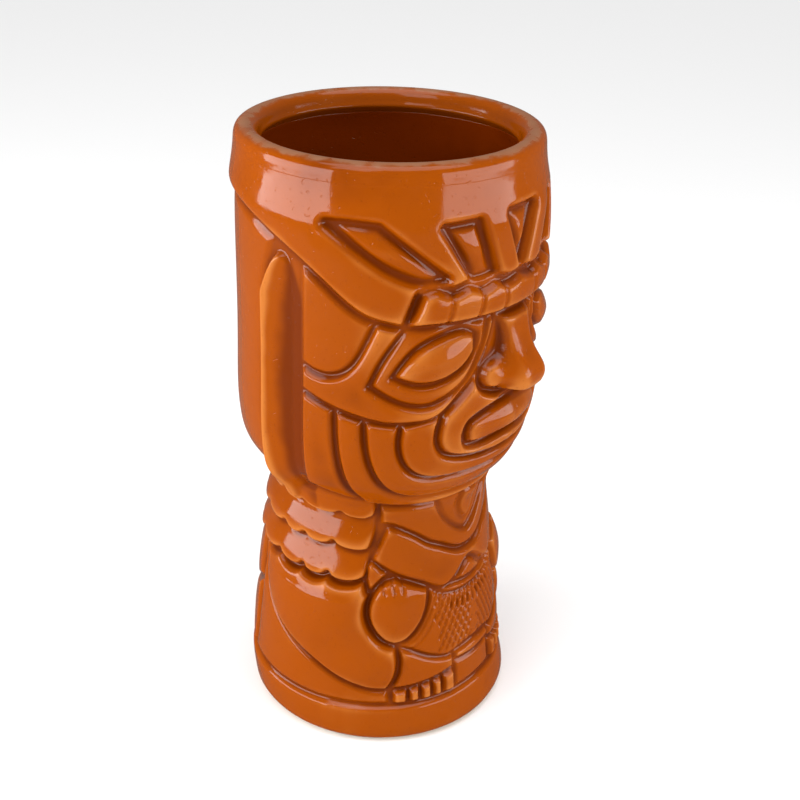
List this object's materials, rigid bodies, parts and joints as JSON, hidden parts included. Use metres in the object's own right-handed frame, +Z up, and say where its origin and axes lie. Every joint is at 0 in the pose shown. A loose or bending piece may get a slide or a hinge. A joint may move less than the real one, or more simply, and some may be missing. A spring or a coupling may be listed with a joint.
{
  "type": "tiki mug",
  "caption": "Tall hollow glazed ceramic mug carved as a seated idol: big masked head with a crown, broad nose and banded beard over a small body on a plain foot ring.",
  "frame": {"origin": "on the mug's axis, in the plane of the foot ring that it stands on", "axes": "+Z up, from the foot to the lip; -Y is the way the face looks; +X is to the right of someone who faces the mug's front"},
  "size_m": [0.0826, 0.086, 0.165],
  "materials": {
    "amber_glaze": "thick glossy amber-brown glaze, darker where it pools in the carved lines and paler where it thins on edges",
    "lip_glaze": "glossy amber-brown glaze, worn matte and greyish along the crest of the lip",
    "cup_glaze": "glossy red-brown glaze inside the cup",
    "bare_clay": "unglazed matte foot ring"
  },
  "bodies": {
    "root": {"apron": "amber_glaze", "beard_inner": "amber_glaze", "beard_middle": "amber_glaze", "beard_outer": "amber_glaze", "belt_knot": "amber_glaze", "belt_roll": "amber_glaze", "body_wall": "cup_glaze", "brow": "amber_glaze", "cheek_left": "amber_glaze", "cheek_right": "amber_glaze", "collar": "amber_glaze", "crown": "amber_glaze", "ear_left": "amber_glaze", "ear_right": "amber_glaze", "eye_left": "amber_glaze", "eye_right": "amber_glaze", "eye_surround_left": "amber_glaze", "eye_surround_right": "amber_glaze", "flap_band": "amber_glaze", "foot": "amber_glaze", "foot_ring": "bare_clay", "foot_top_left": "amber_glaze", "foot_top_right": "amber_glaze", "fringe": "amber_glaze", "front_flap": "amber_glaze", "hair_back": "amber_glaze", "hair_tier_lower": "amber_glaze", "hair_tier_middle": "amber_glaze", "hair_tier_upper": "amber_glaze", "hand_left": "amber_glaze", "hand_right": "amber_glaze", "head_wall": "cup_glaze", "leg_left": "amber_glaze", "leg_right": "amber_glaze", "lip": "lip_glaze", "lower_lip": "amber_glaze", "mask_left": "amber_glaze", "mask_right": "amber_glaze", "muzzle": "amber_glaze", "nose": "amber_glaze", "pendant": "amber_glaze", "robe_back_high": "amber_glaze", "robe_back_low": "amber_glaze", "robe_side_left": "amber_glaze", "robe_side_right": "amber_glaze", "sash": "amber_glaze", "temple_left": "amber_glaze", "temple_right": "amber_glaze", "throat_wall": "cup_glaze", "toes_left": "amber_glaze", "toes_right": "amber_glaze"}
  },
  "joints": []
}
